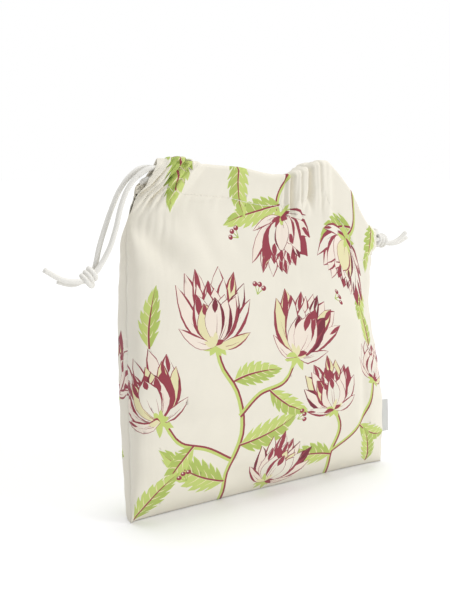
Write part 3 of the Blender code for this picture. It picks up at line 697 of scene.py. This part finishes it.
def tubeArrays(path, radius, around=14):
    # a round tube with domed ends: points, faces, and a UV of metres along it and turns round it
    path = np.asarray(path, float)
    way = np.gradient(path, axis=0)
    way /= np.linalg.norm(way, axis=1)[:, None]
    first = np.cross(way[0], (0.1, 0.9, 0.3))
    normals = [first / np.linalg.norm(first)]
    for a, b in zip(way, way[1:]):
        turned = normals[-1] - b * (normals[-1] @ b)
        normals.append(turned / np.linalg.norm(turned))
    normals = np.array(normals)
    sides = np.cross(way, normals)
    run = np.concatenate([[0], np.cumsum(np.linalg.norm(np.diff(path, axis=0), axis=1))])
    angle = np.linspace(0, 2 * np.pi, around + 1)
    ring = np.cos(angle)[None, :, None] * normals[:, None] + np.sin(angle)[None, :, None] * sides[:, None]
    verts = path[:, None] + radius * ring
    uv = np.stack(np.broadcast_arrays(run[:, None], angle[None, :] / (2 * np.pi)), axis=-1).reshape(-1, 2)
    index = np.arange(len(path) * (around + 1)).reshape(len(path), around + 1)
    faces = quadsOf(index).tolist()
    verts = verts.reshape(-1, 3)
    for end, order in ((0, -1), (-1, 1)):
        tip = path[end] + (way[end] * (0.35 * radius) * (1 if end else -1))
        verts, uv = np.concatenate([verts, [tip]]), np.concatenate([uv, [uv[index[end, 0]]]])
        rim = index[end][::order]
        faces += [[int(rim[k]), int(rim[k + 1]), len(verts) - 1] for k in range(around)]
    return verts, faces, uv


# The casing's stitching: single stitches that dip into the cloth, in a row 26 mm below the fold. Their pitch, length
# and margin are millimetres of the flat cut, the rest is metres
stitch = {"pitch": 3.1, "length": 2.6, "margin": 9.0, "radius": 0.00024, "arch": 0.00030, "sunk": 0.00012}


def stitchRow(name, surface, stitched, side):
    u = surface[0]
    verts, faces = np.empty((0, 3)), []
    t = np.linspace(0, 1, 5)
    lift = bag["cloth"] / 2 + stitch["arch"] * np.sin(np.pi * t) - stitch["sunk"]
    for start in np.arange(stitch["margin"], flat["width"] - stitch["margin"], stitch["pitch"]):
        places = start + stitch["length"] * t
        points = onSurface(surface, np.stack([places, np.interp(places, u, stitched)], axis=1))
        points[:, 1] += side * lift
        more, quads, _ = tubeArrays(points, stitch["radius"], 6)
        faces += [[int(i) + len(verts) for i in face] for face in quads]
        verts = np.concatenate([verts, more])
    meshObject(name, verts, faces, [threadMaterial])


for name, side in (("frontCasingStitches", -1), ("backCasingStitches", 1)):
    stitchRow(name, *panels[side], side)
print("stitches done")


def tunnelRun(side, level, start, end):
    # along the middle of a casing's tunnel, at a share of the casing's height
    x = np.linspace(start, end, 21)
    height = mouthHeight(x, side) - level * bag["casing"] * slant(x)
    depth = wallDepth(side, x, height) - tunnelDepth(x, level * bag["casing"]) / 2
    return np.stack([seamX(x, height / mouthHeight(x, side), side), seamPlane + side * depth, height], axis=1)


def circuit(level, away):
    # through the front casing, round the far end of the mouth, and back through the other casing
    front = tunnelRun(-1, level, -0.97 * away, 0.97 * away)
    back = tunnelRun(1, level, 0.97 * away, -0.97 * away)
    centre, depth = (front[-1] + back[0]) / 2, (back[0][1] - front[-1][1]) / 2
    bend = []
    for out, beside in ((0.15, -0.97), (0.80, -0.62), (1.05, 0), (0.80, 0.62), (0.15, 0.97)):
        edge = centre[0] + beside * (back[0][0] - front[-1][0]) / 2
        edge = edge + away * (0.03 * bag["width"] / 2 + bag["cord"] * out)
        bend.append((edge, centre[1] + depth * beside, centre[2] + away * 0.6 * bag["cord"] * out))
    return np.concatenate([front, bend, back])


def smoothPath(points, step=0.0015):
    # a smooth curve through the points, with stations a step apart
    points = np.asarray(points, float)
    chord = np.concatenate([[0], np.cumsum(np.linalg.norm(np.diff(points, axis=0), axis=1) ** 0.5)])
    fine = np.linspace(0, chord[-1], 60 * len(points))
    line = np.stack([along(np.stack([chord, points[:, k]], axis=1), fine) for k in range(3)], axis=1)
    run = np.concatenate([[0], np.cumsum(np.linalg.norm(np.diff(line, axis=0), axis=1))])
    stations = np.linspace(0, run[-1], int(run[-1] / step) + 1)
    return np.stack([np.interp(stations, run, line[:, k]) for k in range(3)], axis=1)


def offSeam(points):
    return [(x, seamPlane + y, z) for x, y, z in points]


knotSize = {"length": 0.012, "radius": 0.0068}


def knotLeads(knot):
    # short straight leads at the knot's two ends: front and back strand, front and back tail
    centre, axis = np.array(knot["knot"], float), np.array(knot["axis"], float) / np.linalg.norm(knot["axis"])
    ends = []
    for way, apart in ((-1, 0.8), (1, 0.54)):
        for beside in (-apart * bag["cord"], apart * bag["cord"]):
            face = centre + way * axis * (0.5 * knotSize["length"] - 0.002) + (0, beside, 0)
            ends.append([face, face + way * axis * 0.0035])
    return ends


# Each drawcord: its knot, how far that is turned, its level in the casings as a share of their height, and its route
left = {
    "knot": (-0.1660, seamPlane, 0.1984), "axis": (-0.75, 0, -0.66), "turned": 140, "level": 0.27,
    "front": ((-0.1185, -0.0050, 0.2765), (-0.1278, -0.0045, 0.2708), (-0.1360, -0.0042, 0.2610),
              (-0.1415, -0.0040, 0.2480), (-0.1454, -0.0038, 0.2335), (-0.1505, -0.0032, 0.2190),
              (-0.1574, -0.0025, 0.2070)),
    "back": ((-0.1198, 0.0052, 0.2768), (-0.1292, 0.0050, 0.2710), (-0.1378, 0.0050, 0.2608), (-0.1448, 0.0048, 0.2470),
             (-0.1510, 0.0044, 0.2320), (-0.1560, 0.0036, 0.2185), (-0.1592, 0.0026, 0.2075)),
    "frontTail": ((-0.1785, -0.0024, 0.1958), (-0.1880, -0.0026, 0.1982), (-0.2005, -0.0030, 0.2058)),
    "backTail": ((-0.1775, 0.0024, 0.1932), (-0.1890, 0.0026, 0.1962)),
}
right = {
    "knot": (0.1175, seamPlane, 0.2125), "axis": (0.97, 0, -0.22), "turned": 180, "level": 0.57,
    "frontTail": ((0.1310, -0.0024, 0.2105), (0.1395, -0.0027, 0.2135), (0.1470, -0.0030, 0.2190)),
    "backTail": ((0.1320, 0.0024, 0.2090), (0.1430, 0.0022, 0.2098), (0.1530, 0.0020, 0.2140)),
}
cordRadius = bag["cord"] / 2


def knotPath(knot):
    # two and a half turns round the strands, then a last pass across them that tucks in under the first turn: angle in
    # degrees, place along the axis in millimetres, radius
    axis = np.array(knot["axis"], float) / np.linalg.norm(knot["axis"])
    across = np.array([-axis[2], 0, axis[0]])
    depth = np.array([0, 1.0, 0])
    inner = knotSize["radius"] - 1.35 * cordRadius
    turns = [(-70, -3.9, 0.3 * inner), (-30, -4.2, 0.8 * inner)]
    turns += [(a, 8.8 * (a / 870 - 0.5), inner) for a in range(15, 870, 30)]
    turns += [(900, 4.1, inner + 0.0009), (930, 3.2, inner + 0.0021), (960, 1.5, inner + 0.0030),
              (990, -0.6, inner + 0.0032), (1020, -2.8, inner + 0.0025), (1050, -4.4, inner + 0.0008),
              (1080, -5.0, 0.6 * inner)]
    points = []
    for angle, height, radius in turns:
        angle = np.radians(angle + knot["turned"])
        outward = np.cos(angle) * across + np.sin(angle) * depth
        points.append(np.array(knot["knot"]) + 0.001 * height * axis + radius * outward)
    return points


def cordPiece(name, points, standsFor=None, step=0.0015):
    path = smoothPath(points, step)
    verts, faces, uv = tubeArrays(path, cordRadius)
    piece = meshObject(name, verts, faces, [cordMaterial], uv=uv)
    if standsFor:
        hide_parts(standsFor)
    return piece, path


knotStep, casingStep = 0.0006, 0.003


frontIn, backIn, frontOut, backOut = knotLeads(left)
loop = circuit(left["level"], 1)
leftKnot, _ = cordPiece("leftKnot", knotPath(left), "knot_left", knotStep)
cordPiece("leftFrontTail", [frontOut[0], *offSeam(left["frontTail"])], "tail_left_front")
cordPiece("leftBackTail", [backOut[0], *offSeam(left["backTail"])], "tail_left_back")
throughCasings = [*offSeam(left["front"][1::-1]), *loop, *offSeam(left["back"][:2])]
cordPiece("leftCordInCasing", throughCasings, "drawcord_left", casingStep)
leftFront, frontPath = cordPiece("leftFrontStrand", [loop[0], *offSeam(left["front"]), *frontIn[::-1]])
leftBack, backPath = cordPiece("leftBackStrand", [loop[-1], *offSeam(left["back"]), *backIn[::-1]])

frontIn, backIn, frontOut, backOut = knotLeads(right)
throughCasings = [*frontIn, *circuit(right["level"], -1), *backIn[::-1]]
cordPiece("rightCordInCasing", throughCasings, "drawcord_right", casingStep)
cordPiece("rightKnot", knotPath(right), "knot_right", knotStep)
cordPiece("rightFrontTail", [*frontOut, *offSeam(right["frontTail"])], "tail_right_front")
cordPiece("rightBackTail", [*backOut, *offSeam(right["backTail"])], "tail_right_back")


print("cords done")


# The label: a folded ribbon caught in the right side seam; its section goes out along its reach, and from one ply to
# the other
label = {
    "height": 0.031, "reach": 0.008, "bottom": 0.030, "ply": 0.0004, "plyGap": 0.0003, "inSeam": 0.0005, "bend": 0.0015,
    "section": ((0, -1), (0.25, -1), (0.5, -1.05), (0.75, -1.1), (0.93, -1.1), (1, 0), (0.93, 1.1), (0.75, 1.1),
                (0.5, 1.05), (0.25, 1), (0, 1)),
}
z = np.linspace(label["bottom"], label["bottom"] + label["height"], 40)
edge = seamX(1.0, z / mouthHeight(1.0)) - label["inSeam"]
apart = (label["ply"] + label["plyGap"]) / 2
section = np.array(label["section"])
grid = np.stack(np.broadcast_arrays(
    edge[:, None] + section[None, :, 0] * (label["reach"] + label["bend"]), seamPlane + section[None, :, 1] * apart,
    z[:, None]), axis=-1)
index = np.arange(grid.shape[0] * grid.shape[1]).reshape(grid.shape[:2])
quads = quadsOf(index)
uv = np.stack(np.broadcast_arrays(section[None, :, 0] * label["reach"], z[:, None]), axis=-1).reshape(-1, 2)
labelPiece = meshObject("sideLabel", grid.reshape(-1, 3), quads, [labelMaterial], uv=uv)
ply = labelPiece.modifiers.new("Ply", "SOLIDIFY")
ply.thickness, ply.offset = label["ply"], 0
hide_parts("side_label")
print("label done")


# Floor, light and camera
studio = {
    "floorHalf": 30, "floorGlow": 0.12, "worldGlow": 0.47,
    # suns: the way the light goes, strength, and spread in degrees
    "overhead": ((-0.02, -0.10, -1.0), 1.52, 32), "frontRight": ((-0.64, 0.72, -0.34), 1.15, 24),
}
view = {"place": (-0.3875, -0.5515, 0.272), "down": 8.94, "turned": -32, "lens": 47.8, "sensor": 36, "reach": 100}


def whiteWhenSeen(tree, shader, socket, strength, added):
    # the background's white: an emission that only the camera, mirrors and glass see, and that lights nothing; it is
    # added to what is there or takes its place
    ray = addNode(tree, "ShaderNodeLightPath")
    mirrored = addNode(tree, "ShaderNodeMath", {"operation": "MAXIMUM"}, i0=ray.outputs["Is Camera Ray"],
                       i1=ray.outputs["Is Glossy Ray"])
    seen = addNode(tree, "ShaderNodeMath", {"operation": "MAXIMUM"}, i0=mirrored.outputs["Value"],
                   i1=ray.outputs["Is Transmission Ray"])
    kind = "ShaderNodeEmission" if added else "ShaderNodeBackground"
    white = addNode(tree, kind, {"Color": (1, 1, 1, 1), "Strength": strength})
    if added:
        white = addNode(tree, "ShaderNodeAddShader", i0=shader.outputs[0], i1=white.outputs[0])
    mix = addNode(tree, "ShaderNodeMixShader", i0=seen.outputs["Value"], i1=shader.outputs[0], i2=white.outputs[0])
    tree.links.new(mix.outputs["Shader"], socket)


def softSun(name, towards, strength, spread):
    data = bpy.data.lights.new(name, "SUN")
    data.energy, data.angle = strength, np.radians(spread)
    sun = bpy.data.objects.new(name, data)
    sun.rotation_euler = Vector(towards).to_track_quat("-Z", "Y").to_euler()
    bpy.context.scene.collection.objects.link(sun)


# white matt paper without any gloss, so that the pouch's shadow lies on it and nothing is mirrored
material, tree, shader = newMaterial("white_floor", "floor", 0.9)
shader.inputs["Specular IOR Level"].default_value = 0.0
whiteWhenSeen(tree, shader, tree.nodes["Material Output"].inputs["Surface"], studio["floorGlow"], True)
half = studio["floorHalf"]
corners = [(-half, -half, 0), (half, -half, 0), (half, half, 0), (-half, half, 0)]
meshObject("floor", corners, [[0, 1, 2, 3]], [material])

world = bpy.data.worlds.new("studio")
bpy.context.scene.world = world
world.use_nodes = True
shader = world.node_tree.nodes["Background"]
shader.inputs["Color"].default_value = (1, 1, 1, 1)
shader.inputs["Strength"].default_value = studio["worldGlow"]
whiteWhenSeen(world.node_tree, shader, world.node_tree.nodes["World Output"].inputs["Surface"], 1.0, False)
for name in ("overhead", "frontRight"):
    softSun(name, *studio[name])

data = bpy.data.cameras.new("camera")
data.lens, data.sensor_width, data.clip_end = view["lens"], view["sensor"], view["reach"]
camera = bpy.data.objects.new("camera", data)
camera.location = view["place"]
camera.rotation_euler = (np.radians(90 - view["down"]), 0, np.radians(view["turned"]))
bpy.context.scene.collection.objects.link(camera)
bpy.context.scene.camera = camera
bpy.context.scene.view_settings.view_transform = "Standard"
print("stage done")
